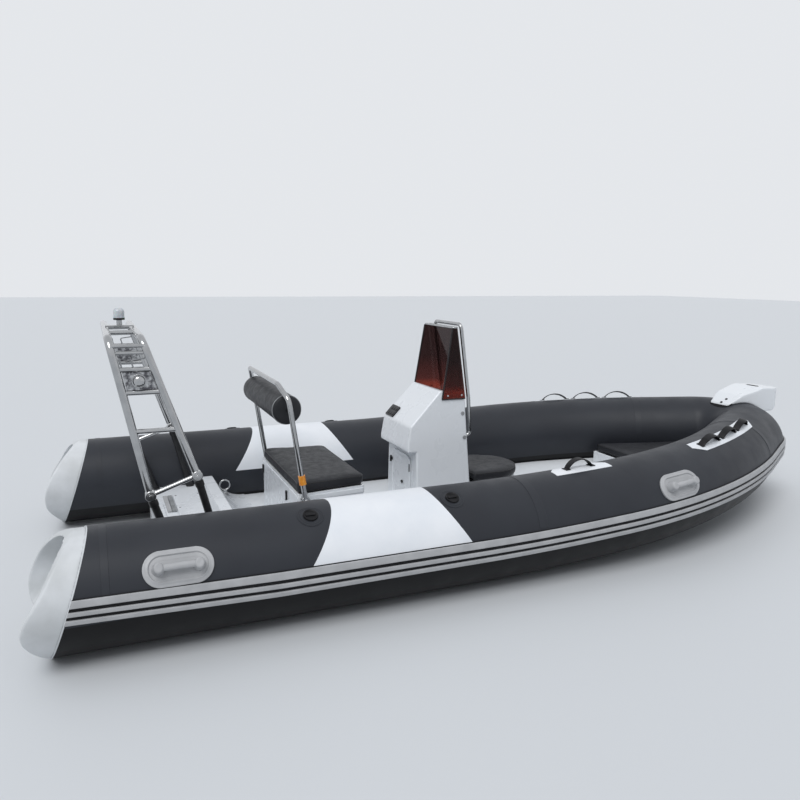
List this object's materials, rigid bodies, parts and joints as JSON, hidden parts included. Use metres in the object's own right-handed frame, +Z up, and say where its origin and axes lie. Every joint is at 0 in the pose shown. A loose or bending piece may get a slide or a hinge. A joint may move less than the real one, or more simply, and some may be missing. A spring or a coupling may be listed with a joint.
{
  "type": "rigid inflatable boat",
  "caption": "Open rigid inflatable boat with a vee hull, an air collar, a steering console with a windshield, a helm seat and a folding stern arch.",
  "frame": {"origin": "on the waterline and the centreplane, below the seam of the collar's stern end cones", "axes": "+X to the bow, +Y to port, +Z up"},
  "size_m": [4.8484, 2.174, 1.5456],
  "materials": {
    "collar_fabric": "matte charcoal coated fabric",
    "grey_rubber": "satin light grey",
    "black_rubber": "matte black",
    "white_fabric": "smooth white coated fabric",
    "white_moulding": "white gel coat",
    "stainless": "polished stainless tube",
    "lamp_dome": "frosted dome",
    "cushion_vinyl": "grained charcoal vinyl",
    "black_plastic": "satin black",
    "smoked_acrylic": "smoked red-brown acrylic"
  },
  "bodies": {
    "boat": {"air_valves": "black_rubber", "arch_feet": "stainless", "backrest_pivots": "stainless", "bow_cap": "white_moulding", "bow_locker": "white_moulding", "cockpit_deck": "white_moulding", "collar_forward_port": "collar_fabric", "collar_forward_starboard": "collar_fabric", "collar_nose": "collar_fabric", "collar_stern_port": "collar_fabric", "collar_stern_starboard": "collar_fabric", "console_shell": "white_moulding", "end_cone_port": "grey_rubber", "end_cone_starboard": "grey_rubber", "front_backrest_pad": "cushion_vinyl", "front_seat_box": "white_moulding", "grab_rail": "stainless", "helm_seat_box": "white_moulding", "hull": "white_moulding", "lifting_handles": "grey_rubber", "rub_strake_bands": "grey_rubber", "rub_strake_base": "black_rubber", "saddle_panel_port": "white_fabric", "saddle_panel_starboard": "white_fabric", "stern_eyes": "stainless", "stern_platform": "white_moulding", "strap_handles": "black_rubber", "strap_patches": "white_fabric", "switch_panel": "black_plastic", "transom_board": "white_moulding", "windshield": "smoked_acrylic"},
    "arch": {"arch_frame": "stainless", "arch_plates": "stainless", "light_bracket": "stainless", "stern_light": "lamp_dome"},
    "backrest": {"backrest_frame": "stainless", "backrest_bolster": "cushion_vinyl"},
    "helm_lid": {"helm_seat_cushion": "cushion_vinyl"},
    "front_lid": {"front_seat_cushion": "cushion_vinyl"},
    "bow_lid": {"bow_locker_cushion": "cushion_vinyl"},
    "door": {"console_door": "white_moulding"}
  },
  "joints": [
    {"name": "arch_fold", "type": "hinge", "parent": "boat", "child": "arch", "pos_m": [0.256, 0, 0.52], "axis": [0, -1, 0], "range_deg": [0, 90]},
    {"name": "backrest_swing", "type": "hinge", "parent": "boat", "child": "backrest", "pos_m": [0.985, 0, 0.372], "axis": [0, -1, 0], "range_deg": [0, 75]},
    {"name": "helm_lid_hinge", "type": "hinge", "parent": "boat", "child": "helm_lid", "pos_m": [1.33, 0, 0.396], "axis": [0, 1, 0], "range_deg": [0, 75]},
    {"name": "front_lid_hinge", "type": "hinge", "parent": "boat", "child": "front_lid", "pos_m": [2.045, 0, 0.3503], "axis": [0, -1, 0], "range_deg": [0, 70]},
    {"name": "bow_lid_hinge", "type": "hinge", "parent": "boat", "child": "bow_lid", "pos_m": [3.336, 0, 0.239], "axis": [0, -1, 0], "range_deg": [0, 70]},
    {"name": "door_hinge", "type": "hinge", "parent": "boat", "child": "door", "pos_m": [1.6727, -0.134, 0.32], "axis": [0, 0, 1], "range_deg": [0, 95]}
  ]
}
